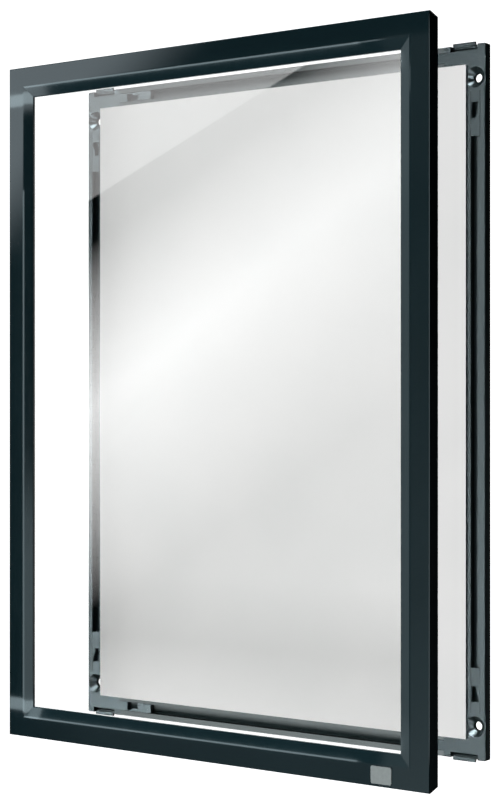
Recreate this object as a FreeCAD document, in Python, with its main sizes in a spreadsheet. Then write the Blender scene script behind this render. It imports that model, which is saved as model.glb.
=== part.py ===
"""Wall-mounted snap frame for one A4 sheet, shown with its front frame pulled off.

Frame of the part: +X right, +Z up, the viewer on the -Y side. The wall is the plane y = 0 and
the origin is the middle of the four wall screws. All sizes are millimetres.
"""
import FreeCAD, Part
import math
import os
import Sketcher

# Driving sizes
SIZES = {
    # White panel of the poster's own size, seated in the rear frame
    "sheet_width": 210.0,
    "sheet_height": 297.0,
    "panel_thick": 2.0,
    "tape_thick": 0.3,
    "tape_width": 2.4,
    "panel_tape_width": 5.0,
    "panel_tape_length": 240.0,
    # Rear frame and the section of its rails
    "rear_margin": 9.0,
    "rear_thick": 4.6,
    "rear_edge_round": 0.4,
    "rail_width": 16.0,
    "outer_land": 2.58,
    "groove_width": 4.7,
    "groove_depth": 3.0,
    "groove_round": 0.5,
    "seat_gap": 0.2,
    "seat_depth": 1.0,
    "relief_wall": 1.6,
    "relief_depth": 1.6,
    # Corner blocks, whose arms fill the ends of the rails' grooves
    "corner_leg": 20.7,
    "corner_outer_round": 0.6,
    "corner_inner_round": 4.0,
    "arm_length": 19.9,
    "seam_gap": 0.15,
    "slot_start": 4.9,
    "slot_length": 6.9,
    "slot_width": 3.7,
    "slot_wall": 0.2,
    "catch_length": 4.6,
    "catch_ramp": 1.7,
    "catch_height": 1.05,
    # Countersunk wall screw holes
    "screw_from_side": 5.0,
    "screw_from_end": 14.7,
    "screw_bore": 4.0,
    "screw_sink": 9.2,
    # Snap fingers in the notches of the top and bottom edges
    "finger_from_side": 5.15,
    "finger_width": 11.0,
    "finger_side_gap": 1.3,
    "finger_proud": 1.0,
    "nose_thick": 1.6,
    "nose_length": 1.3,
    "nose_round": 0.4,
    "stem_thick": 0.8,
    "stem_drop": 0.1,
    "notch_depth": 2.6,
    "notch_web": 0.8,
    "bead_radius": 0.75,
    "pin_radius": 0.5,
    "pin_reach": 1.2,
    "pin_clearance": 0.05,
    "pin_end_gap": 0.2,
    "bead_gap": 0.1,
    # Front bezel
    "bezel_side_margin": 3.85,
    "bezel_end_margin": 4.4,
    "bezel_border": 14.7,
    "bezel_flat": 9.4,
    "bevel_depth": 1.2,
    "plate_thick": 2.35,
    "rim_depth": 9.2,
    "rim_draft": 1.35,
    "rim_wall": 1.5,
    "edge_round": 0.5,
    "crease_round": 6.0,
    "lip_round": 0.3,
    # Clear cover behind the bezel's lip
    "cover_thick": 1.0,
    "cover_lap": 2.8,
    "cover_gap": 0.3,
    "ridge_thick": 0.9,
    "ridge_height": 1.1,
    "poster_gap": 0.4,
    # Hooks of the bezel that enter the slots, and the ribs that the fingers catch
    "hook_thick": 1.3,
    "hook_gap": 0.78,
    "hook_tip_gap": 1.4,
    "hook_end_gap": 0.4,
    "barb_height": 0.3,
    "rib_height": 0.9,
    "rib_length": 12.0,
    "rib_thick": 2.25,
    # Distance of the front frame from its closed place, as shown
    "pulled_off": 49.55,
}

doc = FreeCAD.newDocument("SnapFrame")
sheet = doc.addObject("Spreadsheet::Sheet", "Sizes")
for row, (alias, value) in enumerate(SIZES.items(), start=1):
    sheet.set(f"A{row}", alias)
    sheet.set(f"B{row}", str(value))
    sheet.setAlias(f"B{row}", alias)
doc.recompute()

# Places worked out from the driving sizes, as expressions
SHEET_HALF_WIDTH = "Sizes.sheet_width / 2"
SHEET_HALF_HEIGHT = "Sizes.sheet_height / 2"
REAR_HALF_WIDTH = f"({SHEET_HALF_WIDTH} + Sizes.rear_margin)"
REAR_HALF_HEIGHT = f"({SHEET_HALF_HEIGHT} + Sizes.rear_margin)"
BEZEL_HALF_WIDTH = f"({REAR_HALF_WIDTH} + Sizes.bezel_side_margin)"
BEZEL_HALF_HEIGHT = f"({REAR_HALF_HEIGHT} + Sizes.bezel_end_margin)"
GROOVE_INNER = "(Sizes.outer_land + Sizes.groove_width)"
SEAT_EDGE = "(Sizes.rear_margin - Sizes.seat_gap)"
ARM_DEPTH = "(Sizes.groove_depth - Sizes.seam_gap)"
ARM_INNER = f"({GROOVE_INNER} - Sizes.seam_gap)"
SLOT_INNER = f"({ARM_INNER} - Sizes.slot_wall)"
SLOT_OUTER = f"({SLOT_INNER} - Sizes.slot_width)"
SLOT_START = "(Sizes.corner_leg + Sizes.slot_start)"
SLOT_END = f"({SLOT_START} + Sizes.slot_length)"
SCREW_X = f"({REAR_HALF_WIDTH} - Sizes.screw_from_side)"
SCREW_Z = f"({REAR_HALF_HEIGHT} - Sizes.screw_from_end)"
# Depths measured back from the bezel's front face
COVER_FRONT = "(Sizes.plate_thick + Sizes.tape_thick)"
COVER_BACK = f"({COVER_FRONT} + Sizes.cover_thick)"
PANEL_FRONT = "(Sizes.rear_thick - Sizes.seat_depth + Sizes.tape_thick + Sizes.panel_thick)"
CLOSED_FACE = f"({PANEL_FRONT} + Sizes.poster_gap + {COVER_BACK})"
SHOWN_FACE = f"({CLOSED_FACE} + Sizes.pulled_off)"
# Snap finger, whose pin lies near the wall
NOTCH_HALF = "(Sizes.finger_width / 2 + Sizes.finger_side_gap)"
FINGER_MIDDLE = f"({REAR_HALF_WIDTH} - Sizes.finger_from_side - Sizes.finger_width / 2)"
PIN_DEPTH = "(Sizes.notch_web + Sizes.bead_gap + Sizes.bead_radius)"
PIN_HEIGHT = f"({REAR_HALF_HEIGHT} - Sizes.stem_drop - Sizes.bead_radius)"


def number(expression):
    """Value of an expression on the sheet's cells."""
    return float(sheet.evalExpression(expression))


def new_body(name):
    """Empty body whose label names its file."""
    body = doc.addObject("PartDesign::Body", name)
    body.Label = name
    return body


def sketch_on(body, role, name, offset="0"):
    """Sketch on one of the body's origin planes, moved along the plane's normal."""
    plane = next(feature for feature in body.Origin.OriginFeatures if feature.Role == role)
    sketch = body.newObject("Sketcher::SketchObject", name)
    sketch.AttachmentSupport = [(plane, "")]
    sketch.MapMode = "FlatFace"
    sketch.setExpression("AttachmentOffset.Base.z", offset)
    return sketch


def bind(sketch, constraint, expression):
    """Adds a dimension to a sketch and ties it to an expression."""
    index = sketch.addConstraint(constraint)
    sketch.setExpression(f"Constraints[{index}]", expression)


def pin_point(sketch, point, across, up):
    """Holds a sketch point at two expressions measured from the sketch's origin."""
    bind(sketch, Sketcher.Constraint("DistanceX", -1, 1, point, 1, number(across)), across)
    bind(sketch, Sketcher.Constraint("DistanceY", -1, 1, point, 1, number(up)), up)


def rounded_corner(before, corner, after, radius):
    """Arc that rounds a corner, with the ends that touch the lines before and after it."""
    back = (before - corner).normalize()
    ahead = (after - corner).normalize()
    half_angle = back.getAngle(ahead) / 2
    trim = radius / math.tan(half_angle)
    centre = corner + (back + ahead).normalize() * (radius / math.sin(half_angle))
    turns_left = back.cross(ahead).z < 0
    start = corner + (back if turns_left else ahead) * trim
    finish = corner + (ahead if turns_left else back) * trim
    circle = Part.Circle(centre, FreeCAD.Vector(0, 0, 1), radius)
    arc = Part.ArcOfCircle(circle, circle.parameter(start), circle.parameter(finish))
    return arc, (1, 2) if turns_left else (2, 1), corner + back * trim, corner + ahead * trim


def outline(sketch, corners):
    """Closed outline through corners (across, up) or (across, up, radius), all expressions."""
    count = len(corners)
    places = [FreeCAD.Vector(number(corner[0]), number(corner[1]), 0) for corner in corners]
    arrive, leave, arcs = list(places), list(places), {}
    for i, corner in enumerate(corners):
        if len(corner) == 3:
            arc, ends, arrive[i], leave[i] = rounded_corner(
                places[i - 1], places[i], places[(i + 1) % count], number(corner[2]))
            arcs[i] = (sketch.addGeometry(arc), ends)
    points = [sketch.addGeometry(Part.Point(place), True) for place in places]
    lines = [sketch.addGeometry(Part.LineSegment(leave[i], arrive[(i + 1) % count])) for i in range(count)]
    for i, corner in enumerate(corners):
        pin_point(sketch, points[i], corner[0], corner[1])
        before, after = lines[i - 1], lines[i]
        if i not in arcs:
            sketch.addConstraint(Sketcher.Constraint("Coincident", before, 2, points[i], 1))
            sketch.addConstraint(Sketcher.Constraint("Coincident", after, 1, points[i], 1))
            continue
        arc, (first, last) = arcs[i]
        sketch.addConstraint(Sketcher.Constraint("PointOnObject", points[i], 1, before))
        sketch.addConstraint(Sketcher.Constraint("PointOnObject", points[i], 1, after))
        sketch.addConstraint(Sketcher.Constraint("Tangent", before, 2, arc, first))
        sketch.addConstraint(Sketcher.Constraint("Tangent", after, 1, arc, last))
        bind(sketch, Sketcher.Constraint("Radius", arc, number(corner[2])), corner[2])


def rectangle(sketch, left, right, low, high):
    """Rectangular outline between four expressions."""
    outline(sketch, [(left, low), (right, low), (right, high), (left, high)])


def circle(sketch, across, up, radius):
    """Circle whose centre and radius are expressions."""
    centre = FreeCAD.Vector(number(across), number(up), 0)
    ring = sketch.addGeometry(Part.Circle(centre, FreeCAD.Vector(0, 0, 1), number(radius)))
    bind(sketch, Sketcher.Constraint("DistanceX", -1, 1, ring, 3, number(across)), across)
    bind(sketch, Sketcher.Constraint("DistanceY", -1, 1, ring, 3, number(up)), up)
    bind(sketch, Sketcher.Constraint("Radius", ring, number(radius)), radius)


def extrude(body, kind, sketch, length, reverse=False):
    """Pad or Pocket of a sketch by an expression; a feature that changes nothing is an error."""
    volume = body.Shape.Volume if body.Tip else 0.0
    feature = body.newObject(f"PartDesign::{kind}", f"{kind}_{sketch.Name}")
    feature.Profile = sketch
    feature.Reversed = reverse
    feature.setExpression("Length", length)
    doc.recompute()
    grown = body.Shape.Volume - volume
    if grown * (1 if kind == "Pad" else -1) <= 0:
        raise RuntimeError(f"{feature.Name} of {body.Label} changes nothing")
    return feature


def box(name, low, high):
    """Plain sheet or strip between two corners, given as expressions."""
    sheet_box = doc.addObject("Part::Box", name)
    sheet_box.Label = name
    for axis, side, start, end in zip("xyz", ("Length", "Width", "Height"), low, high):
        sheet_box.setExpression(f"Placement.Base.{axis}", start)
        sheet_box.setExpression(side, f"({end}) - ({start})")
    return sheet_box


def mirrored(name, source, normal):
    """Mirror image of a piece through a plane of the part's frame."""
    image = doc.addObject("Part::Mirroring", name)
    image.Label = name
    image.Source = source
    image.Normal = FreeCAD.Vector(normal)
    return image


# Rails of the rear frame
def rail_section(place):
    """Section of a rail, from its outer edge inwards and from its face backwards."""
    inner_wall = "(Sizes.rail_width - Sizes.relief_wall)"
    relief = "(Sizes.rear_thick - Sizes.relief_depth)"
    corners = [
        ("0", "0", "Sizes.rear_edge_round"),
        ("Sizes.outer_land", "0"),
        ("Sizes.outer_land", "Sizes.groove_depth", "Sizes.groove_round"),
        (GROOVE_INNER, "Sizes.groove_depth", "Sizes.groove_round"),
        (GROOVE_INNER, "0"),
        (SEAT_EDGE, "0"),
        (SEAT_EDGE, "Sizes.seat_depth"),
        ("Sizes.rail_width", "Sizes.seat_depth"),
        ("Sizes.rail_width", "Sizes.rear_thick"),
        (inner_wall, "Sizes.rear_thick"),
        (inner_wall, relief),
        (SEAT_EDGE, relief),
        (SEAT_EDGE, "Sizes.rear_thick"),
        ("0", "Sizes.rear_thick"),
    ]
    return [(*place(corner[0], corner[1]), *corner[2:]) for corner in corners]


def on_side(inwards, depth):
    """Place on a section of the right rail, in the XY plane."""
    return f"{REAR_HALF_WIDTH} - {inwards}", f"{depth} - Sizes.rear_thick"


def on_top(inwards, depth):
    """Place on a section of the top rail, in the YZ plane."""
    return f"{depth} - Sizes.rear_thick", f"{REAR_HALF_HEIGHT} - {inwards}"


def make_rail(name, role, place, half_span):
    """Straight rail between two corner blocks."""
    body = new_body(name)
    half_length = f"({half_span} - Sizes.corner_leg)"
    sketch = sketch_on(body, role, f"section_{name}", f"-{half_length}")
    outline(sketch, rail_section(place))
    extrude(body, "Pad", sketch, f"2 * {half_length}")
    return body


# Corner blocks of the rear frame
def arm_section(place):
    """Section of an arm, which fills a rail's groove up to the seam."""
    outer = "(Sizes.outer_land + Sizes.seam_gap)"
    corners = [
        (outer, "0"),
        (outer, ARM_DEPTH, "Sizes.groove_round"),
        (ARM_INNER, ARM_DEPTH, "Sizes.groove_round"),
        (ARM_INNER, "0"),
    ]
    return [(*place(corner[0], corner[1]), *corner[2:]) for corner in corners]


def slot_outline(place):
    """Slot through an arm, narrowed towards mid-rail by a catch with a ramp."""
    catch = f"({SLOT_END} - Sizes.catch_length)"
    ramp_end = f"({catch} + Sizes.catch_ramp)"
    catch_face = f"({SLOT_OUTER} + Sizes.catch_height)"
    corners = [(SLOT_START, SLOT_OUTER), (catch, SLOT_OUTER), (ramp_end, catch_face), (SLOT_END, catch_face),
               (SLOT_END, SLOT_INNER), (SLOT_START, SLOT_INNER)]
    return [place(along, inwards) for along, inwards in corners]


def down_side(along, inwards):
    """Place on the front of the right side, measured down from the top edge."""
    return f"{REAR_HALF_WIDTH} - {inwards}", f"{REAR_HALF_HEIGHT} - {along}"


def along_top(along, inwards):
    """Place on the front of the top side, measured in from the right edge."""
    return f"{REAR_HALF_WIDTH} - {along}", f"{REAR_HALF_HEIGHT} - {inwards}"


def outer_front_edges(shape):
    """Names of the front edges of a corner block along its right side, its top and round their corner."""
    front = -number("Sizes.rear_thick")
    inner_x = number(f"{REAR_HALF_WIDTH} - Sizes.corner_outer_round")
    inner_z = number(f"{REAR_HALF_HEIGHT} - Sizes.corner_outer_round")
    names = []
    for index, edge in enumerate(shape.Edges, start=1):
        middle = edge.CenterOfMass
        on_front = max(abs(point.Point.y - front) for point in edge.Vertexes) < 1e-6
        if on_front and (middle.x > inner_x or middle.z > inner_z):
            names.append(f"Edge{index}")
    return names


def make_corner(name):
    """Top right corner block with its arms, slots, screw hole and finger notch."""
    body = new_body(name)
    inner_x = f"{REAR_HALF_WIDTH} - Sizes.corner_leg"
    inner_z = f"{REAR_HALF_HEIGHT} - Sizes.corner_leg"

    block = sketch_on(body, "XZ_Plane", "block")
    outline(block, [
        (inner_x, inner_z, "Sizes.corner_inner_round"),
        (REAR_HALF_WIDTH, inner_z),
        (REAR_HALF_WIDTH, REAR_HALF_HEIGHT, "Sizes.corner_outer_round"),
        (inner_x, REAR_HALF_HEIGHT),
    ])
    pad = extrude(body, "Pad", block, "Sizes.rear_thick")
    soften = body.newObject("PartDesign::Fillet", "outer_edges")
    soften.Base = (pad, outer_front_edges(body.Shape))
    soften.setExpression("Radius", "Sizes.rear_edge_round")
    doc.recompute()

    side_arm = sketch_on(body, "XY_Plane", "side_arm", f"{inner_z} - Sizes.arm_length")
    outline(side_arm, arm_section(on_side))
    extrude(body, "Pad", side_arm, "Sizes.arm_length")
    top_arm = sketch_on(body, "YZ_Plane", "top_arm", f"{inner_x} - Sizes.arm_length")
    outline(top_arm, arm_section(on_top))
    extrude(body, "Pad", top_arm, "Sizes.arm_length")

    seat = sketch_on(body, "XZ_Plane", "seat", "Sizes.rear_thick")
    rectangle(seat, inner_x, f"{REAR_HALF_WIDTH} - {SEAT_EDGE}", inner_z, f"{REAR_HALF_HEIGHT} - {SEAT_EDGE}")
    extrude(body, "Pocket", seat, "Sizes.seat_depth")

    for slot_name, place in (("side_slot", down_side), ("top_slot", along_top)):
        slot = sketch_on(body, "XZ_Plane", slot_name, "Sizes.rear_thick")
        outline(slot, slot_outline(place))
        extrude(body, "Pocket", slot, "Sizes.rear_thick")

    bore = sketch_on(body, "XZ_Plane", "screw_bore", "Sizes.rear_thick")
    circle(bore, SCREW_X, SCREW_Z, "Sizes.screw_bore / 2")
    extrude(body, "Pocket", bore, "Sizes.rear_thick")
    sink = sketch_on(body, "XY_Plane", "screw_sink", SCREW_Z)
    sink.setExpression("AttachmentOffset.Base.x", SCREW_X)
    sink_depth = "(Sizes.screw_sink - Sizes.screw_bore) / 2"
    outline(sink, [
        ("0", "-Sizes.rear_thick"),
        ("Sizes.screw_sink / 2", "-Sizes.rear_thick"),
        ("Sizes.screw_bore / 2", f"{sink_depth} - Sizes.rear_thick"),
        ("0", f"{sink_depth} - Sizes.rear_thick"),
    ])
    cone = body.newObject("PartDesign::Groove", "screw_cone")
    cone.Profile = sink
    cone.ReferenceAxis = (sink, ["V_Axis"])
    doc.recompute()

    notch = sketch_on(body, "XZ_Plane", "notch", "Sizes.rear_thick")
    rectangle(notch, f"{FINGER_MIDDLE} - {NOTCH_HALF}", f"{FINGER_MIDDLE} + {NOTCH_HALF}",
              f"{REAR_HALF_HEIGHT} - Sizes.notch_depth", f"{REAR_HALF_HEIGHT} + Sizes.notch_depth")
    extrude(body, "Pocket", notch, "Sizes.rear_thick - Sizes.notch_web")
    socket_half = f"({NOTCH_HALF} + Sizes.pin_reach + Sizes.pin_end_gap)"
    socket = sketch_on(body, "YZ_Plane", "pin_socket", f"{FINGER_MIDDLE} - {socket_half}")
    circle(socket, f"-{PIN_DEPTH}", PIN_HEIGHT, "Sizes.pin_radius + Sizes.pin_clearance")
    extrude(body, "Pocket", socket, f"2 * {socket_half}", reverse=True)
    return body


# Snap fingers
def make_finger(name):
    """Top right snap finger: a nose on a short stem that turns on two pins."""
    body = new_body(name)
    start = f"{FINGER_MIDDLE} - Sizes.finger_width / 2"
    nose_top = f"({REAR_HALF_HEIGHT} + Sizes.finger_proud)"
    nose_back = "Sizes.nose_length - Sizes.rear_thick"
    nose_low = f"({nose_top} - Sizes.nose_thick)"
    stem_top = f"({REAR_HALF_HEIGHT} - Sizes.stem_drop)"
    stem_low = f"({stem_top} - Sizes.stem_thick)"
    hook = sketch_on(body, "YZ_Plane", "nose_and_stem", start)
    outline(hook, [
        (f"-{PIN_DEPTH}", stem_low),
        (f"-{PIN_DEPTH}", stem_top),
        (nose_back, stem_top),
        (nose_back, nose_top),
        ("-Sizes.rear_thick", nose_top, "Sizes.nose_round"),
        ("-Sizes.rear_thick", nose_low),
        (nose_back, nose_low),
        (nose_back, stem_low),
    ])
    extrude(body, "Pad", hook, "Sizes.finger_width")
    bead = sketch_on(body, "YZ_Plane", "root_bead", start)
    circle(bead, f"-{PIN_DEPTH}", PIN_HEIGHT, "Sizes.bead_radius")
    extrude(body, "Pad", bead, "Sizes.finger_width")
    pin_half = f"({NOTCH_HALF} + Sizes.pin_reach)"
    pins = sketch_on(body, "YZ_Plane", "pins", f"{FINGER_MIDDLE} - {pin_half}")
    circle(pins, f"-{PIN_DEPTH}", PIN_HEIGHT, "Sizes.pin_radius")
    extrude(body, "Pad", pins, f"2 * {pin_half}")
    return body


# Front bezel
def bezel_section():
    """Section of the bezel on its right side, with depths measured back from the front face."""
    def place(inwards, depth, *radius):
        return (f"{BEZEL_HALF_WIDTH} - {inwards}", depth, *radius)

    recess = "(Sizes.bezel_border - Sizes.cover_lap - Sizes.cover_gap)"
    ridge = f"({recess} - Sizes.ridge_thick)"
    ridge_top = "Sizes.plate_thick + Sizes.ridge_height"
    wall_front = "(Sizes.rim_wall + Sizes.rim_draft * Sizes.plate_thick / Sizes.rim_depth)"
    return [
        place("0", "0", "Sizes.edge_round"),
        place("Sizes.bezel_flat", "0", "Sizes.crease_round"),
        place("Sizes.bezel_border", "Sizes.bevel_depth", "Sizes.lip_round"),
        place("Sizes.bezel_border", "Sizes.plate_thick"),
        place(recess, "Sizes.plate_thick"),
        place(recess, ridge_top),
        place(ridge, ridge_top),
        place(ridge, "Sizes.plate_thick"),
        place(wall_front, "Sizes.plate_thick"),
        place("(Sizes.rim_wall + Sizes.rim_draft)", "Sizes.rim_depth"),
        place("Sizes.rim_draft", "Sizes.rim_depth"),
    ]


def hook_outline(place):
    """Hook on the back of the bezel: a tongue with a barb on its outer side near the tip."""
    root = "Sizes.plate_thick / 2"
    inner = f"({SLOT_INNER} - Sizes.hook_gap)"
    outer = f"({inner} - Sizes.hook_thick)"
    barb = f"({outer} - Sizes.barb_height)"
    tip = f"({CLOSED_FACE} - Sizes.rear_thick + Sizes.groove_depth - Sizes.hook_tip_gap)"
    barb_depth = f"({tip} - Sizes.hook_thick)"
    corners = [(inner, root), (inner, tip), (outer, tip), (barb, barb_depth),
               (outer, f"{barb_depth} - Sizes.barb_height"), (outer, root)]
    return [place(inwards, depth) for inwards, depth in corners]


def add_hooks(body, right, up):
    """Two hooks beside one corner of the bezel; right and up are 1 or -1."""
    middle = f"({SLOT_START} + {SLOT_END}) / 2"
    length = "(Sizes.slot_length - 2 * Sizes.hook_end_gap)"
    tag = f"{'right' if right > 0 else 'left'}_{'top' if up > 0 else 'bottom'}"
    side = sketch_on(body, "XY_Plane", f"side_hook_{tag}",
                     f"{up} * ({REAR_HALF_HEIGHT} - {middle}) - {length} / 2")
    outline(side, hook_outline(lambda inwards, depth: (f"{right} * ({REAR_HALF_WIDTH} - {inwards})", depth)))
    extrude(body, "Pad", side, length)
    end = sketch_on(body, "YZ_Plane", f"end_hook_{tag}",
                    f"{right} * ({REAR_HALF_WIDTH} - {middle}) - {length} / 2")
    outline(end, hook_outline(lambda inwards, depth: (depth, f"{up} * ({REAR_HALF_HEIGHT} - {inwards})")))
    extrude(body, "Pad", end, length)


def add_rib(body, right, up):
    """Rib inside the rim that a snap finger's nose catches."""
    wall = f"({BEZEL_HALF_HEIGHT} - Sizes.rim_wall - Sizes.rim_draft)"
    root = f"({wall} + Sizes.rim_wall / 2)"
    tip = f"({wall} - Sizes.rib_height)"
    front = "(Sizes.rim_depth - Sizes.rib_thick)"
    lead_in = "(Sizes.rim_depth - Sizes.rib_height)"
    tag = f"{'right' if right > 0 else 'left'}_{'top' if up > 0 else 'bottom'}"
    rib = sketch_on(body, "YZ_Plane", f"rib_{tag}", f"{right} * {FINGER_MIDDLE} - Sizes.rib_length / 2")
    corners = [("Sizes.rim_depth", root), ("Sizes.rim_depth", wall), (lead_in, tip), (front, tip), (front, root)]
    outline(rib, [(depth, f"{up} * {height}") for depth, height in corners])
    extrude(body, "Pad", rib, "Sizes.rib_length")


def make_bezel(name):
    """One-piece bezel: its section run round the frame, with hooks and ribs on its back."""
    body = new_body(name)
    path = sketch_on(body, "XZ_Plane", "bezel_path")
    outline(path, [
        (BEZEL_HALF_WIDTH, "0"),
        (BEZEL_HALF_WIDTH, BEZEL_HALF_HEIGHT),
        (f"-{BEZEL_HALF_WIDTH}", BEZEL_HALF_HEIGHT),
        (f"-{BEZEL_HALF_WIDTH}", f"-{BEZEL_HALF_HEIGHT}"),
        (BEZEL_HALF_WIDTH, f"-{BEZEL_HALF_HEIGHT}"),
    ])
    section = sketch_on(body, "XY_Plane", "bezel_section")
    outline(section, bezel_section())
    doc.recompute()
    ring = body.newObject("PartDesign::AdditivePipe", "bezel_ring")
    ring.Profile = section
    ring.Spine = (path, [f"Edge{i + 1}" for i in range(len(path.Shape.Edges))])
    ring.Transition = "Right corner"
    doc.recompute()
    for right in (1, -1):
        for up in (1, -1):
            add_hooks(body, right, up)
            add_rib(body, right, up)
    body.setExpression("Placement.Base.y", f"-{SHOWN_FACE}")
    return body


# Sheets and the tape that holds them
def make_cover():
    """Clear cover behind the bezel's lip, on four strips of tape."""
    window_x = f"({BEZEL_HALF_WIDTH} - Sizes.bezel_border)"
    window_z = f"({BEZEL_HALF_HEIGHT} - Sizes.bezel_border)"
    edge_x = f"({window_x} + Sizes.cover_lap)"
    edge_z = f"({window_z} + Sizes.cover_lap)"
    tape_y = f"Sizes.plate_thick - {SHOWN_FACE}"
    front_y = f"{COVER_FRONT} - {SHOWN_FACE}"
    back_y = f"{COVER_BACK} - {SHOWN_FACE}"
    inner = "(Sizes.cover_lap - Sizes.tape_width) / 2"
    low_x, high_x = f"({window_x} + {inner})", f"({window_x} + {inner} + Sizes.tape_width)"
    low_z, high_z = f"({window_z} + {inner})", f"({window_z} + {inner} + Sizes.tape_width)"
    return [
        box("clear_cover", (f"-{edge_x}", front_y, f"-{edge_z}"), (edge_x, back_y, edge_z)),
        box("cover_tape_top", (f"-{high_x}", tape_y, low_z), (high_x, front_y, high_z)),
        box("cover_tape_bottom", (f"-{high_x}", tape_y, f"-{high_z}"), (high_x, front_y, f"-{low_z}")),
        box("cover_tape_right", (low_x, tape_y, f"-{window_z}"), (high_x, front_y, window_z)),
        box("cover_tape_left", (f"-{high_x}", tape_y, f"-{window_z}"), (f"-{low_x}", front_y, window_z)),
    ]


def make_panel():
    """White panel on two strips of tape in the seat of the rear frame."""
    seat_y = "Sizes.seat_depth - Sizes.rear_thick"
    back_y = f"{seat_y} - Sizes.tape_thick"
    middle = f"({REAR_HALF_WIDTH} - (Sizes.rail_width + Sizes.rear_margin) / 2)"
    inner, outer = f"({middle} - Sizes.panel_tape_width / 2)", f"({middle} + Sizes.panel_tape_width / 2)"
    half_length = "Sizes.panel_tape_length / 2"
    return [
        box("white_panel", (f"-{SHEET_HALF_WIDTH}", f"-{PANEL_FRONT}", f"-{SHEET_HALF_HEIGHT}"),
            (SHEET_HALF_WIDTH, back_y, SHEET_HALF_HEIGHT)),
        box("panel_tape_right", (inner, back_y, f"-{half_length}"), (outer, seat_y, half_length)),
        box("panel_tape_left", (f"-{outer}", back_y, f"-{half_length}"), (f"-{inner}", seat_y, half_length)),
    ]


def with_mirrors(stem, make):
    """A piece of the top right corner and its images in the other three corners."""
    first = make(f"{stem}_top_right")
    left = mirrored(f"{stem}_top_left", first, (1, 0, 0))
    return [first, left,
            mirrored(f"{stem}_bottom_right", first, (0, 0, 1)),
            mirrored(f"{stem}_bottom_left", left, (0, 0, 1))]


rail_top = make_rail("rail_top", "YZ_Plane", on_top, REAR_HALF_WIDTH)
rail_right = make_rail("rail_right", "XY_Plane", on_side, REAR_HALF_HEIGHT)
pieces = [
    rail_top,
    mirrored("rail_bottom", rail_top, (0, 0, 1)),
    rail_right,
    mirrored("rail_left", rail_right, (1, 0, 0)),
    *with_mirrors("corner", make_corner),
    *with_mirrors("snap_finger", make_finger),
    *make_panel(),
    make_bezel("front_bezel"),
    *make_cover(),
]
doc.recompute()

# Nothing is written unless every object is sound
for thing in doc.Objects:
    if "Invalid" in thing.State or "Error" in thing.State:
        raise RuntimeError(f"{thing.Label} failed: {thing.State}")
for piece in pieces:
    if piece.Shape.isNull() or not piece.Shape.isValid() or len(piece.Shape.Solids) != 1:
        raise RuntimeError(f"{piece.Label} is not one sound solid")

os.makedirs("parts", exist_ok=True)
for piece in pieces:
    piece.Shape.exportStep(f"parts/{piece.Label}.step")
    bounds = piece.Shape.BoundBox
    print(f"{piece.Label}: {piece.Shape.Volume / 1000:.2f} cm3, "
          f"{bounds.XLength:.2f} x {bounds.YLength:.2f} x {bounds.ZLength:.2f} mm")
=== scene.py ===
"""Looks of the snap frame: finishes, the bare badge plate, plain studio light and the camera.

Everything is in metres in the part's own frame: the wall is y = 0, the viewer is on the -Y side,
+X is right and +Z is up.
"""
import math

import bmesh
import bpy
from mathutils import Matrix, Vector


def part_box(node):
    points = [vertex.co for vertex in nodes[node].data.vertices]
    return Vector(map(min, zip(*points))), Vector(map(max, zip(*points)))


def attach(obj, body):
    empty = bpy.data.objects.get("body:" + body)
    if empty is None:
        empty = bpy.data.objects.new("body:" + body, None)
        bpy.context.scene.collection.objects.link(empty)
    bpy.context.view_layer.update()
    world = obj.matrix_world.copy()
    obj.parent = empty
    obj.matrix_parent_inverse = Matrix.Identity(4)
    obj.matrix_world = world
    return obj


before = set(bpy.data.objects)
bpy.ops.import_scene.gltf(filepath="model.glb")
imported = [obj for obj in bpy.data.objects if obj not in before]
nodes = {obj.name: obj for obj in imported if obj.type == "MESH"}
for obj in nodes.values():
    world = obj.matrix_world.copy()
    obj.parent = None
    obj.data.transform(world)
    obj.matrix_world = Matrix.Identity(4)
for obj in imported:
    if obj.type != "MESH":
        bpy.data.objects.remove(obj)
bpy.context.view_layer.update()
scene = bpy.context.scene

# Camera: level, to the right of the frame and turned back towards it
IMAGE_HEIGHT_PX = 803
FOCAL_LENGTH_PX = 1850.0
SENSOR_MM = 36.0
CAMERA_AT = (0.503, -0.7225, 0.0002)
CAMERA_TURN = math.radians(35.7)

# Badge plate on the bezel's bottom border
BADGE_X = 0.0945
BADGE_Z = -0.1568
BADGE_WIDTH = 0.0103
BADGE_HEIGHT = 0.0075
BADGE_THICK = 0.0004
BADGE_CORNER = 0.0009
# Size of its softened front edge, and the share of it at which the edge has its middle ring
BADGE_EDGE = 0.00012
EDGE_MIDDLE = 0.3
# Steps round each of its corners
ARC_STEPS = 8

# Noise values between which a finish drifts
NOISE_LOW = 0.3
NOISE_HIGH = 0.7
# Dark and light tone of the plastics
BEZEL_TONES = ((0.0032, 0.0089, 0.0109), (0.0039, 0.0106, 0.0130))
REAR_TONES = ((0.013, 0.020, 0.021), (0.016, 0.024, 0.025))
# Least and greatest roughness of the plastics
BEZEL_ROUGHNESS = (0.11, 0.14)
RAIL_ROUGHNESS = (0.18, 0.22)
CORNER_ROUGHNESS = (0.19, 0.23)
FINGER_ROUGHNESS = (0.17, 0.21)
# Plastics: sizes of the drifts in tone and gloss and of the fine grain, its height, and the noise detail
PLASTIC_TONE_SIZE = 0.03
PLASTIC_GLOSS_SIZE = 0.006
PLASTIC_GRAIN_SIZE = 0.0004
PLASTIC_GRAIN_HEIGHT = 0.000001
PLASTIC_DETAIL = 3.0

# Surroundings bright enough to stay white behind the cover
WORLD_STRENGTH = 1.3

# Floor, far enough below to be out of the picture, which glows more away from the frame
FLOOR_Z = -0.6
FLOOR_RADIUS = 6.0
FLOOR_SEGMENTS = 96
# Radii between which its glow rises, and the glow at each
FLOOR_GLOW_RADII = (0.5, 1.3)
FLOOR_GLOWS = (0.45, 1.0)

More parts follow.
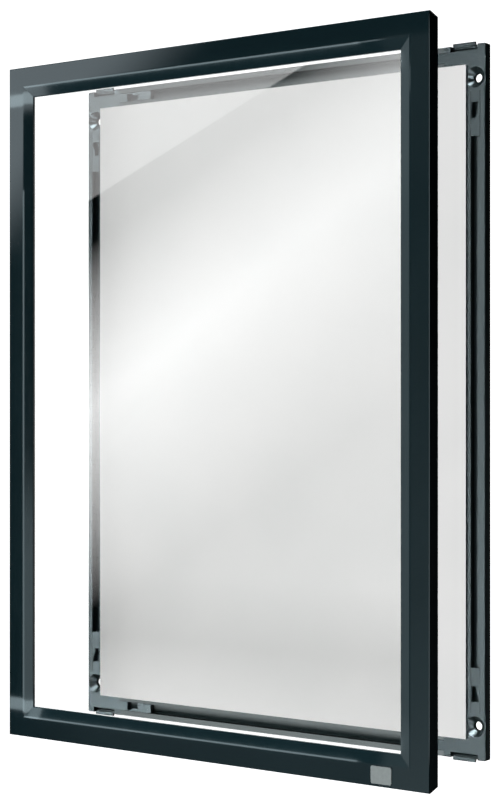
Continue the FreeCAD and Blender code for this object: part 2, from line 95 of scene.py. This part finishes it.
# Tints of the lights; the dark plastic mirrors cool ones
COOL = (0.80, 1.0, 1.07)
WHITE = (1.0, 1.0, 1.0)
# Softboxes are so far away that only their direction counts
SOFTBOX_DISTANCE = 10.0

# Lights that a level face mirrors are drawn as places (x, z) on it; their cards stand this far in front
COVER_CARD_GAP = 0.004
BEZEL_CARD_GAP = 0.06
# Light with a sharp lower edge in the cover, and how soft that edge is
SHARP_START = (-0.0663, 0.0962)
SHARP_END = (0.0543, 0.1462)
SHARP_BLUR = 0.0005
# Slanted band in the cover, brightest along a line and fading above and below it
BAND_START = (-0.0663, -0.0025)
BAND_END = (0.1013, 0.1014)
# Places across the cover between which the glare changes
GLARE_LEFT = -0.060
GLARE_RIGHT = 0.095
# Reach of the band above and below its line, and radiance of the band and of the sharp light
GLARE_OVER_PANEL = {"above": (0.064, 0.047), "below": 0.086, "band": (4.4, 2.5), "sharp": (1.55, 0.4)}
GLARE_OVER_RAILS = {"above": (0.066, 0.066), "below": 0.081, "band": (8.8, 8.2), "sharp": (2.2, 3.6)}
# Wash over the panel on the left and right, with a level darker stripe
STRIPE_Z = -0.109
STRIPE_REACH = 0.031
WASH_ABOVE = (0.80, 1.60)
WASH_BELOW = (1.75, 1.15)

# Crease of the bezel, where its flat turns into its bevel
CREASE_X = 0.10845
CREASE_Z = 0.1525
# How far the bezel's cards reach beyond its flats, outwards and inwards
CARD_OUTSIDE = 0.035
CARD_INSIDE = 0.014
# Light mirrored by the bezel's top left corner: its slanted edge, that edge's softness and its right end
CORNER_EDGE_START = (-0.1135, 0.0949)
CORNER_EDGE_END = (-0.0329, 0.1570)
CORNER_BLUR = 0.022
CORNER_LIGHT_END = 0.02
CORNER_RADIANCE = 2.5
CORNER_TINT = (0.88, 1.0, 1.07)
# Faint lights in the bezel's right and bottom flats, at even steps downwards and to the right
RIGHT_FLAT_STEPS = (0.26, 0.10, 0.18, 0.34, 0.70)
BOTTOM_FLAT_STEPS = (0.0, 0.22, 0.24, 0.28, 0.28)
# Strips of light near the bezel's face: ends across, ends up, radiance and gap to the face
NEAR_GAP = 0.020
FAR_GAP = 0.060
BEZEL_STRIPS = {
    "top_crease": ((-0.138, 0.0710), (CREASE_Z - 0.0050, CREASE_Z + 0.0010), 4.2, NEAR_GAP),
    "top_crease_end": ((0.0456, 0.0580), (CREASE_Z - 0.0090, CREASE_Z + 0.0030), 2.6, FAR_GAP),
    "bottom_crease": ((-0.138, 0.070), (-CREASE_Z - 0.0012, -CREASE_Z + 0.0048), 4.2, NEAR_GAP),
    "left_crease": ((-CREASE_X - 0.0160, -CREASE_X - 0.0080), (-0.154, 0.105), 3.2, NEAR_GAP),
    "right_edge": ((0.127, 0.240), (-0.155, 0.165), 2.4, NEAR_GAP),
}
# Softboxes that the bezel's bevels mirror: azimuths, elevations and radiance
BEZEL_GLOSS = {
    "right_bevel": ((-68, -50), (-16, 16), 0.90),
    "right_bevel_top": ((-68, -50), (7, 16), 0.45),
    "left_bevel": ((-24, -11), (-16, -3.0), 1.5),
}
# Narrow lights on the bezel from above and below: azimuths, elevations and radiance
BEZEL_LIGHTS = {
    "overhead": ((-1.5, 1.5), (84, 90), 2700.0),
    "underneath": ((-1.5, 1.5), (-90, -84), 1800.0),
}

# Long light on the left: azimuths, elevations and radiance
FRONT_LIGHT = ((-90, 0), (-2, 2), 46.5)
# Narrow flag that shades the left side of the panel from it
FLAG_X = (-0.118, -0.110)
FLAG_GAP = 0.028
FLAG_REACH = 0.4
# Broad light from behind: azimuth, elevation, spread and strength
BACK_LIGHT = (-150, 25, 120, 0.6)

# Softboxes mirrored by the rear frame's sides: azimuths, and radiance on the rail and on the corners
REAR_GLOSS = {"right": ((-31.5, -12), 3.0, 2.95), "left": ((-43.5, -24), 4.4, 7.2)}
# Their elevations, and those of a second box over their lower part with a share of their radiance
REAR_ELEVATIONS = (-26, 24)
REAR_LOW_ELEVATIONS = (-26, -3)
REAR_LOW_SHARE = 0.5
# Light from above or below that the grooves of the top and bottom rails shade themselves
RAIL_LIGHTS = {"rail_top": ((30, 60), 60.0), "rail_bottom": ((-60, -30), 105.0)}
RAIL_LIGHT_AZIMUTHS = (-60, 0)
RAIL_LIGHT_TINT = (1.35, 1.0, 0.97)
# Softboxes that the countersinks of the corners mirror: azimuths, elevations and radiance
TOP_COUNTERSINKS = ((-10, 34), (54, 78), 24.0)
BOTTOM_COUNTERSINKS = ((-15, 35), (45, 72), 30.0)
CORNER_GLOSS = {"rear_beside": ((50, 75), (-16, 16), 12.0), "rear_below": ((20, 70), (-65, -35), 4.5)}
# Faint gloss on the side walls and fill light on the rear frame: azimuths, elevations and radiance
SIDE_WALLS = ((115, 165), (-30, 2), 0.045)
REAR_FILL = ((10, 50), (-20, 20), 0.6)


# Finishes
def map_range(tree, value, start, end, low, high, smooth=False):
    """Node value that goes from low at start to high at end."""
    node = tree.nodes.new("ShaderNodeMapRange")
    node.interpolation_type = "SMOOTHSTEP" if smooth else "LINEAR"
    for socket, amount in (("From Min", start), ("From Max", end), ("To Min", low), ("To Max", high)):
        node.inputs[socket].default_value = amount
    tree.links.new(value, node.inputs["Value"])
    return node.outputs["Result"]


class Finish:
    """A node material on one Principled shader, textured in the object's own metres."""

    def __init__(self, name, **constants):
        self.material = bpy.data.materials.new(name)
        self.material.use_nodes = True
        self.tree = self.material.node_tree
        self.shader = self.tree.nodes["Principled BSDF"]
        for socket, value in constants.items():
            self.shader.inputs[socket.replace("_", " ")].default_value = value
        self.coords = self.tree.nodes.new("ShaderNodeTexCoord").outputs["Object"]

    def link(self, output, node, socket):
        self.tree.links.new(output, node.inputs[socket])

    def grain(self, size, detail=2.0, stretch=(1.0, 1.0, 1.0)):
        """Noise whose features are about this size; stretch lengthens them along an axis."""
        mapping = self.tree.nodes.new("ShaderNodeMapping")
        mapping.inputs["Scale"].default_value = [1.0 / (size * s) for s in stretch]
        self.link(self.coords, mapping, "Vector")
        noise = self.tree.nodes.new("ShaderNodeTexNoise")
        noise.inputs["Scale"].default_value = 1.0
        noise.inputs["Detail"].default_value = detail
        self.link(mapping.outputs["Vector"], noise, "Vector")
        return noise.outputs["Fac"]

    def colour(self, value, dark, light):
        """Base colour that drifts between two tones with a noise value."""
        ramp = self.tree.nodes.new("ShaderNodeValToRGB")
        for stop, place, tone in zip(ramp.color_ramp.elements, (NOISE_LOW, NOISE_HIGH), (dark, light)):
            stop.position = place
            stop.color = (*tone, 1.0)
        self.link(value, ramp, "Fac")
        self.link(ramp.outputs["Color"], self.shader, "Base Color")

    def roughness(self, value, low, high):
        """Roughness that drifts between two amounts with a noise value."""
        drift = map_range(self.tree, value, NOISE_LOW, NOISE_HIGH, low, high)
        self.link(drift, self.shader, "Roughness")

    def bump(self, value, height):
        """Relief of a noise value with this height in metres."""
        relief = self.tree.nodes.new("ShaderNodeBump")
        relief.inputs["Distance"].default_value = height
        self.link(value, relief, "Height")
        self.link(relief.outputs["Normal"], self.shader, "Normal")


def moulded_plastic(name, tones, rough):
    """Moulded plastic: drifting tone and gloss and a fine eroded grain."""
    finish = Finish(name, IOR=1.49)
    finish.colour(finish.grain(PLASTIC_TONE_SIZE, PLASTIC_DETAIL), *tones)
    finish.roughness(finish.grain(PLASTIC_GLOSS_SIZE, PLASTIC_DETAIL), *rough)
    finish.bump(finish.grain(PLASTIC_GRAIN_SIZE, PLASTIC_DETAIL), PLASTIC_GRAIN_HEIGHT)
    return finish.material


def board_white():
    """White board with a faint fibre texture."""
    finish = Finish("board_white", IOR=1.45)
    finish.colour(finish.grain(size=0.05), dark=(0.80, 0.805, 0.80), light=(0.84, 0.84, 0.835))
    finish.roughness(finish.grain(size=0.004), low=0.55, high=0.7)
    finish.bump(finish.grain(size=0.0006, detail=4.0, stretch=(1.0, 1.0, 3.0)), height=0.00001)
    return finish.material


def clear_sheet():
    """Clear sheet with hardly any waviness and faintly duller spots."""
    finish = Finish("clear_sheet", IOR=1.49, Transmission_Weight=1.0)
    finish.colour(finish.grain(size=0.08), dark=(0.875, 0.885, 0.88), light=(0.895, 0.90, 0.895))
    finish.roughness(finish.grain(size=0.01), low=0.0, high=0.01)
    finish.bump(finish.grain(size=0.06, detail=0.0), height=0.000004)
    return finish.material


def foam_tape():
    """White foam tape with open cells."""
    finish = Finish("foam_tape", IOR=1.45)
    finish.colour(finish.grain(size=0.0008), dark=(0.62, 0.62, 0.60), light=(0.78, 0.78, 0.76))
    finish.roughness(finish.grain(size=0.001), low=0.75, high=0.9)
    finish.bump(finish.grain(size=0.0003), height=0.00004)
    return finish.material


def badge_grey():
    """Satin grey of the bare badge plate, brushed along its length."""
    finish = Finish("badge_grey", IOR=1.49)
    finish.colour(finish.grain(size=0.0015), dark=(0.265, 0.30, 0.30), light=(0.305, 0.345, 0.345))
    finish.roughness(finish.grain(size=0.0005, stretch=(6.0, 1.0, 1.0)), low=0.35, high=0.5)
    finish.bump(finish.grain(size=0.0002, stretch=(8.0, 1.0, 1.0)), height=0.000004)
    return finish.material


def dress(material, *names):
    """Gives CAD nodes this material."""
    for name in names:
        slots = nodes[name].data.materials
        slots.clear()
        slots.append(material)


def dress_all():
    """Finishes of all CAD nodes."""
    bezel = moulded_plastic("bezel_satin", BEZEL_TONES, BEZEL_ROUGHNESS)
    rail = moulded_plastic("rail_satin", REAR_TONES, RAIL_ROUGHNESS)
    corner = moulded_plastic("corner_satin", REAR_TONES, CORNER_ROUGHNESS)
    finger = moulded_plastic("finger_satin", REAR_TONES, FINGER_ROUGHNESS)
    tape = foam_tape()
    dress(bezel, "front_bezel")
    dress(board_white(), "white_panel")
    dress(clear_sheet(), "clear_cover")
    for name in nodes:
        if name.startswith("rail_"):
            dress(rail, name)
        elif name.startswith("corner_"):
            dress(corner, name)
        elif name.startswith("snap_finger_"):
            dress(finger, name)
        elif "_tape_" in name:
            dress(tape, name)


# Pieces
def new_object(name, mesh):
    """Object for a finished mesh, linked to the scene."""
    thing = bpy.data.objects.new(name, mesh)
    scene.collection.objects.link(thing)
    return thing


def rounded_rectangle(width, height, radius):
    """Points (across, up) round a rectangle with rounded corners."""
    points = []
    for quarter, (right, up) in enumerate(((1, 1), (-1, 1), (-1, -1), (1, -1))):
        centre_x = right * (width / 2 - radius)
        centre_z = up * (height / 2 - radius)
        for step in range(ARC_STEPS + 1):
            angle = math.radians(90) * (quarter + step / ARC_STEPS)
            points.append((centre_x + radius * math.cos(angle), centre_z + radius * math.sin(angle)))
    return points


def make_badge():
    """Bare plate with rounded corners and a softened front edge on the bezel's flat."""
    face_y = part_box("front_bezel")[0].y
    rings = (
        (0.0, face_y),
        (0.0, face_y - BADGE_THICK + BADGE_EDGE),
        (BADGE_EDGE * EDGE_MIDDLE, face_y - BADGE_THICK + BADGE_EDGE * EDGE_MIDDLE),
        (BADGE_EDGE, face_y - BADGE_THICK),
    )
    built = bmesh.new()
    loops = []
    for inset, y in rings:
        outline = rounded_rectangle(BADGE_WIDTH - 2 * inset, BADGE_HEIGHT - 2 * inset, BADGE_CORNER - inset)
        loops.append([built.verts.new((BADGE_X + x, y, BADGE_Z + z)) for x, z in outline])
    for back, front in zip(loops, loops[1:]):
        for i in range(len(back)):
            j = (i + 1) % len(back)
            built.faces.new((back[i], back[j], front[j], front[i]))
    built.faces.new(loops[-1])
    built.faces.new(list(reversed(loops[0])))
    bmesh.ops.recalc_face_normals(built, faces=built.faces)
    mesh = bpy.data.meshes.new("badge_plate")
    built.to_mesh(mesh)
    built.free()
    badge = new_object("badge_plate", mesh)
    mesh.materials.append(badge_grey())
    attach(badge, "front_frame")


# Stage
def seen_by(thing, **rays):
    """Sets which kinds of rays see an object; kinds that aren't named see nothing of it."""
    for kind in ("camera", "diffuse", "glossy", "transmission", "volume_scatter", "shadow"):
        setattr(thing, f"visible_{kind}", rays.get(kind, False))


def nodes_named(*starts):
    """CAD nodes whose names start with one of these."""
    return [thing for name, thing in nodes.items() if name.startswith(starts)]


def group_of(name, things):
    """Collection of objects for linking lights to them."""
    group = bpy.data.collections.new(name)
    for thing in things:
        group.objects.link(thing)
    return group


def light_only(thing, *receivers):
    """Lets a light reach these objects alone."""
    thing.light_linking.receiver_collection = group_of(f"lit_by_{thing.name}", receivers)


def direction(azimuth, elevation):
    """Unit vector towards a place in front of the frame; azimuth 0 is -Y and 90 is +X."""
    turn, rise = math.radians(azimuth), math.radians(elevation)
    return Vector((math.sin(turn) * math.cos(rise), -math.cos(turn) * math.cos(rise), math.sin(rise)))


def aim(thing, towards):
    """Turns a light so that it shines along a direction."""
    thing.rotation_euler = towards.to_track_quat("-Z", "Y").to_euler()


def soft_sun(name, azimuth, elevation, spread, strength):
    """Very broad light from one side, for the diffuse light alone."""
    lamp = bpy.data.lights.new(name, "SUN")
    lamp.angle = math.radians(spread)
    lamp.energy = strength * math.pi
    sun = new_object(name, lamp)
    aim(sun, -direction(azimuth, elevation))
    seen_by(sun, diffuse=True)


def area_light(name, place, towards, width, height, radiance, colour, rays, receivers):
    """Rectangular light at a place, turned towards a direction, for one kind of rays.

    Where receivers are given, it reaches these objects alone.
    """
    lamp = bpy.data.lights.new(name, "AREA")
    lamp.shape = "RECTANGLE"
    lamp.size, lamp.size_y = width, height
    lamp.energy = radiance * math.pi * width * height
    lamp.color = colour
    box = new_object(name, lamp)
    box.location = place
    aim(box, towards)
    seen_by(box, **{rays: True})
    if receivers:
        light_only(box, *receivers)
    return box


def softbox(name, azimuths, elevations, radiance, colour, rays, receivers=()):
    """Far softbox between two azimuths and two elevations."""
    width, height = (2 * SOFTBOX_DISTANCE * math.tan(math.radians(high - low) / 2)
                     for low, high in (azimuths, elevations))
    towards = direction(sum(azimuths) / 2, sum(elevations) / 2)
    place = towards * SOFTBOX_DISTANCE
    return area_light(name, place, -towards, width, height, radiance, colour, rays, receivers)


def gloss(name, azimuths, elevations, radiance, receivers):
    """Cool softbox that only shows as a gloss on its receivers."""
    return softbox(name, azimuths, elevations, radiance, COOL, "glossy", receivers)


def rear_gloss(name, azimuths, elevations, radiance, receivers, shades):
    """Gloss on the rear frame that nothing but these shades keeps off."""
    box = gloss(name, azimuths, elevations, radiance, receivers)
    box.data.cycles.use_multiple_importance_sampling = False
    box.light_linking.blocker_collection = shades


def strip(name, xs, zs, radiance, gap, receivers):
    """Strip of light in front of the bezel's face, between two places across and two up."""
    place = Vector((sum(xs) / 2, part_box("front_bezel")[0].y - gap, sum(zs) / 2))
    width, height = xs[1] - xs[0], zs[1] - zs[0]
    area_light(name, place, Vector((0, 1, 0)), width, height, radiance, COOL, "glossy", receivers)


class Glow:
    """A clear emitting material whose strength is worked out by nodes from a card's own (x, z)."""

    def __init__(self, name, colour=WHITE):
        self.material = bpy.data.materials.new(name)
        self.material.use_nodes = True
        self.tree = self.material.node_tree
        self.tree.nodes.remove(self.tree.nodes["Principled BSDF"])
        self.emission = self.tree.nodes.new("ShaderNodeEmission")
        self.emission.inputs["Color"].default_value = (*colour, 1.0)
        clear = self.tree.nodes.new("ShaderNodeBsdfTransparent")
        both = self.tree.nodes.new("ShaderNodeAddShader")
        self.tree.links.new(self.emission.outputs["Emission"], both.inputs[0])
        self.tree.links.new(clear.outputs["BSDF"], both.inputs[1])
        output = self.tree.nodes["Material Output"]
        self.tree.links.new(both.outputs["Shader"], output.inputs["Surface"])
        place = self.tree.nodes.new("ShaderNodeSeparateXYZ")
        coords = self.tree.nodes.new("ShaderNodeTexCoord").outputs["Object"]
        self.tree.links.new(coords, place.inputs["Vector"])
        self.x, self.z = place.outputs["X"], place.outputs["Z"]

    def ramp(self, value, start, end, low, high, smooth=False):
        """Value that goes from low at start to high at end."""
        return map_range(self.tree, value, start, end, low, high, smooth)

    def math(self, operation, first, second):
        """Result of an operation on a value and another value or number."""
        node = self.tree.nodes.new("ShaderNodeMath")
        node.operation = operation
        self.tree.links.new(first, node.inputs[0])
        if isinstance(second, float):
            node.inputs[1].default_value = second
        else:
            self.tree.links.new(second, node.inputs[1])
        return node.outputs["Value"]

    def above(self, start, end):
        """Distance of a place above the line through two points."""
        run, rise = (Vector(end) - Vector(start)).normalized()
        slanted = self.math("ADD", self.math("MULTIPLY", self.z, run), self.math("MULTIPLY", self.x, -rise))
        return self.math("ADD", slanted, start[0] * rise - start[1] * run)

    def steps(self, value, start, end, levels):
        """Value that goes through levels at even steps from start to end."""
        step = (end - start) / (len(levels) - 1)
        total = self.ramp(value, start, start + step, levels[0], levels[1])
        for i in range(1, len(levels) - 1):
            place = start + i * step
            change = self.ramp(value, place, place + step, 0.0, levels[i + 1] - levels[i])
            total = self.math("ADD", total, change)
        return total

    def strength(self, value):
        self.tree.links.new(value, self.emission.inputs["Strength"])


def flat_mesh(name, outline):
    """Upright flat mesh with this outline (x, z)."""
    mesh = bpy.data.meshes.new(name)
    mesh.from_pydata([(x, 0, z) for x, z in outline], [], [range(len(outline))])
    return mesh


def mirrored_card(name, surface, gap, outline, glow):
    """Card in front of a node's level face, which shows as this outline (x, z) on the face.

    The card is drawn in the face's own metres and spread to where the camera's mirrored rays meet it.
    """
    face_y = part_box(surface)[0].y
    spread = gap / (face_y - CAMERA_AT[1])
    mesh = flat_mesh(name, outline)
    mesh.materials.append(glow.material)
    sheet = new_object(name, mesh)
    sheet.location = (-CAMERA_AT[0] * spread, face_y - gap, -CAMERA_AT[2] * spread)
    sheet.scale = (1 + spread, 1, 1 + spread)
    seen_by(sheet, glossy=True)
    light_only(sheet, nodes[surface])


def rectangle(xs, zs):
    """Corners (x, z) between two places across and two up."""
    return [(xs[0], zs[0]), (xs[1], zs[0]), (xs[1], zs[1]), (xs[0], zs[1])]


def seen_on_cover(point):
    """Place (x, z) on the cover's face where the camera sees a point behind it."""
    face_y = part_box("clear_cover")[0].y
    share = (face_y - CAMERA_AT[1]) / (point.y - CAMERA_AT[1])
    return tuple(CAMERA_AT[i] + (point[i] - CAMERA_AT[i]) * share for i in (0, 2))


def glare(name, above, below, band, sharp):
    """Light of the slanted band, which reaches this far above and below its line, and of the sharp edge.

    The reach above and each radiance are given for the left and for the right.
    """
    glow = Glow(name)
    over_band = glow.above(BAND_START, BAND_END)
    rise = glow.ramp(over_band, -below, 0.0, 0.0, 1.0)
    reach = glow.ramp(glow.x, GLARE_LEFT, GLARE_RIGHT, *above)
    fall = glow.ramp(glow.math("DIVIDE", over_band, reach), 1.0, 0.0, 0.0, 1.0)
    band_level = glow.ramp(glow.x, GLARE_LEFT, GLARE_RIGHT, *band)
    soft = glow.math("MULTIPLY", glow.math("MINIMUM", rise, fall), band_level)
    over_edge = glow.above(SHARP_START, SHARP_END)
    edge = glow.ramp(over_edge, -SHARP_BLUR, SHARP_BLUR, 0.0, 1.0)
    sharp_level = glow.ramp(glow.x, GLARE_LEFT, GLARE_RIGHT, *sharp)
    total = glow.math("ADD", soft, glow.math("MULTIPLY", edge, sharp_level))
    return glow, total


def make_glare():
    """Lights mirrored by the clear cover, which are stronger beside the white panel than over it."""
    low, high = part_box("clear_cover")
    panel_low, panel_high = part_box("white_panel")
    left, bottom = seen_on_cover(panel_low)
    top = seen_on_cover(Vector((0, panel_low.y, panel_high.z)))[1]
    over_panel, light = glare("glare_over_panel", **GLARE_OVER_PANEL)
    for reach, wash in ((STRIPE_REACH, WASH_ABOVE), (-STRIPE_REACH, WASH_BELOW)):
        level = over_panel.ramp(over_panel.x, GLARE_LEFT, GLARE_RIGHT, *wash)
        share = over_panel.ramp(over_panel.z, STRIPE_Z, STRIPE_Z + reach, 0.0, 1.0)
        light = over_panel.math("ADD", light, over_panel.math("MULTIPLY", level, share))
    over_panel.strength(light)
    panel_outline = rectangle((left, high.x), (bottom, top))
    mirrored_card("glare_over_panel", "clear_cover", COVER_CARD_GAP, panel_outline, over_panel)
    over_rails, light = glare("glare_over_rails", **GLARE_OVER_RAILS)
    over_rails.strength(light)
    rail_outline = [
        (low.x, low.z), (left, low.z), (left, top), (high.x, top), (high.x, high.z), (low.x, high.z),
    ]
    mirrored_card("glare_over_rails", "clear_cover", COVER_CARD_GAP, rail_outline, over_rails)


def make_bezel_glow():
    """Lights that the bezel's flats mirror: a bright top left corner and faint right and bottom sides."""
    low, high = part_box("front_bezel")
    left, right = low.x - CARD_OUTSIDE, high.x + CARD_OUTSIDE
    bottom, top = low.z - CARD_OUTSIDE, high.z + CARD_OUTSIDE
    inner_x, inner_z = CREASE_X - CARD_INSIDE, CREASE_Z - CARD_INSIDE
    corner = Glow("corner_glow", CORNER_TINT)
    height = corner.above(CORNER_EDGE_START, CORNER_EDGE_END)
    corner.strength(corner.ramp(height, -CORNER_BLUR, CORNER_BLUR, 0.0, CORNER_RADIANCE, smooth=True))
    end = CORNER_LIGHT_END
    outline = [(left, 0.0), (-inner_x, 0.0), (-inner_x, inner_z), (end, inner_z), (end, top), (left, top)]
    mirrored_card("corner_glow", "front_bezel", BEZEL_CARD_GAP, outline, corner)
    side = Glow("right_flat_glow", COOL)
    side.strength(side.steps(side.z, high.z, low.z, RIGHT_FLAT_STEPS))
    outline = rectangle((inner_x, right), (bottom, CREASE_Z))
    mirrored_card("right_flat_glow", "front_bezel", BEZEL_CARD_GAP, outline, side)
    sill = Glow("bottom_flat_glow", COOL)
    sill.strength(sill.steps(sill.x, low.x, high.x, BOTTOM_FLAT_STEPS))
    outline = rectangle((left, inner_x), (bottom, -inner_z))
    mirrored_card("bottom_flat_glow", "front_bezel", BEZEL_CARD_GAP, outline, sill)


def make_bezel_gloss():
    """Lights mirrored by the bezel's creases, bevels and right edge, and lights on its top and bottom."""
    bezel = [nodes["front_bezel"]]
    for name, placing in BEZEL_STRIPS.items():
        strip(name, *placing, bezel)
    for name, placing in BEZEL_GLOSS.items():
        gloss(name, *placing, bezel)
    for name, placing in BEZEL_LIGHTS.items():
        softbox(name, *placing, WHITE, "diffuse", bezel)


def make_rear_gloss():
    """Lights of the rear frame: softboxes that its sides and countersinks mirror, and light on its rails."""
    everything = nodes_named("rail_", "corner_", "snap_finger_")
    tops, bottoms = nodes_named("corner_top"), nodes_named("corner_bottom")
    shades = group_of("rear_shades", everything)
    for side, (azimuths, rail_radiance, corner_radiance) in REAR_GLOSS.items():
        rail = [nodes[f"rail_{side}"]]
        ends = [nodes[f"{kind}_{end}_{side}"]
                for kind in ("corner", "snap_finger") for end in ("top", "bottom")]
        for place, members, radiance in (("rail", rail, rail_radiance), ("ends", ends, corner_radiance)):
            rear_gloss(f"{side}_{place}", azimuths, REAR_ELEVATIONS, radiance, members, shades)
            low_radiance = radiance * REAR_LOW_SHARE
            rear_gloss(f"{side}_{place}_low", azimuths, REAR_LOW_ELEVATIONS, low_radiance, members, shades)
    for name, (elevations, radiance) in RAIL_LIGHTS.items():
        placing = (RAIL_LIGHT_AZIMUTHS, elevations, radiance)
        softbox(f"{name}_light", *placing, RAIL_LIGHT_TINT, "diffuse", [nodes[name]])
    gloss("top_countersinks", *TOP_COUNTERSINKS, tops)
    rear_gloss("bottom_countersinks", *BOTTOM_COUNTERSINKS, bottoms, shades)
    for name, placing in CORNER_GLOSS.items():
        rear_gloss(name, *placing, tops + bottoms, shades)
    gloss("side_walls", *SIDE_WALLS, everything + [nodes["front_bezel"]])
    softbox("rear_fill", *REAR_FILL, WHITE, "diffuse", everything)


def make_front_light():
    """Long strip light on the left that only a narrow flag and the rear frame shade."""
    lamp = softbox("front_light", *FRONT_LIGHT, WHITE, "diffuse")
    outline = rectangle(FLAG_X, (-FLAG_REACH, FLAG_REACH))
    flag = new_object("flag", flat_mesh("flag", outline))
    flag.location.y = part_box("white_panel")[0].y - FLAG_GAP
    seen_by(flag, shadow=True)
    front = ("front_", "clear_", "cover_")
    shades = [thing for name, thing in nodes.items() if not name.startswith(front)]
    lamp.light_linking.blocker_collection = group_of("front_light_shades", shades + [flag])


def make_lights():
    """Front light, a weaker light from behind, and the lights that show as gloss and glare."""
    make_front_light()
    soft_sun("back_light", *BACK_LIGHT)
    make_bezel_glow()
    make_bezel_gloss()
    make_rear_gloss()
    make_glare()


def make_world():
    """White surroundings for the camera and for what is seen through the cover."""
    world = bpy.data.worlds.new("white_surroundings")
    scene.world = world
    world.use_nodes = True
    background = world.node_tree.nodes["Background"]
    background.inputs["Color"].default_value = (*WHITE, 1.0)
    background.inputs["Strength"].default_value = WORLD_STRENGTH
    world.cycles_visibility.diffuse = False
    world.cycles_visibility.glossy = False


def make_floor():
    """Pale floor that brightens to white away from the frame."""
    mesh = bpy.data.meshes.new("floor")
    built = bmesh.new()
    bmesh.ops.create_circle(built, cap_ends=True, radius=FLOOR_RADIUS, segments=FLOOR_SEGMENTS)
    built.to_mesh(mesh)
    built.free()
    floor = new_object("floor", mesh)
    floor.location.z = FLOOR_Z
    finish = Finish("floor_pale", Emission_Color=(*WHITE, 1.0))
    finish.colour(finish.grain(size=0.5), dark=(0.86, 0.86, 0.86), light=(0.9, 0.9, 0.9))
    finish.roughness(finish.grain(size=0.2), low=0.8, high=0.9)
    reach = finish.tree.nodes.new("ShaderNodeVectorMath")
    reach.operation = "LENGTH"
    finish.link(finish.coords, reach, "Vector")
    fade = map_range(finish.tree, reach.outputs["Value"], *FLOOR_GLOW_RADII, *FLOOR_GLOWS, smooth=True)
    finish.link(fade, finish.shader, "Emission Strength")
    mesh.materials.append(finish.material)
    seen_by(floor, camera=True, transmission=True)


def make_camera():
    """Camera at the photograph's angle, distance and framing."""
    lens = bpy.data.cameras.new("camera")
    lens.sensor_width = SENSOR_MM
    lens.lens = FOCAL_LENGTH_PX * SENSOR_MM / IMAGE_HEIGHT_PX
    camera = new_object("camera", lens)
    camera.location = CAMERA_AT
    camera.rotation_euler = (math.radians(90), 0, CAMERA_TURN)
    scene.camera = camera


dress_all()
make_badge()
seen_by(nodes["clear_cover"], camera=True, transmission=True)
make_world()
make_floor()
make_lights()
make_camera()
scene.view_settings.view_transform = "Standard"
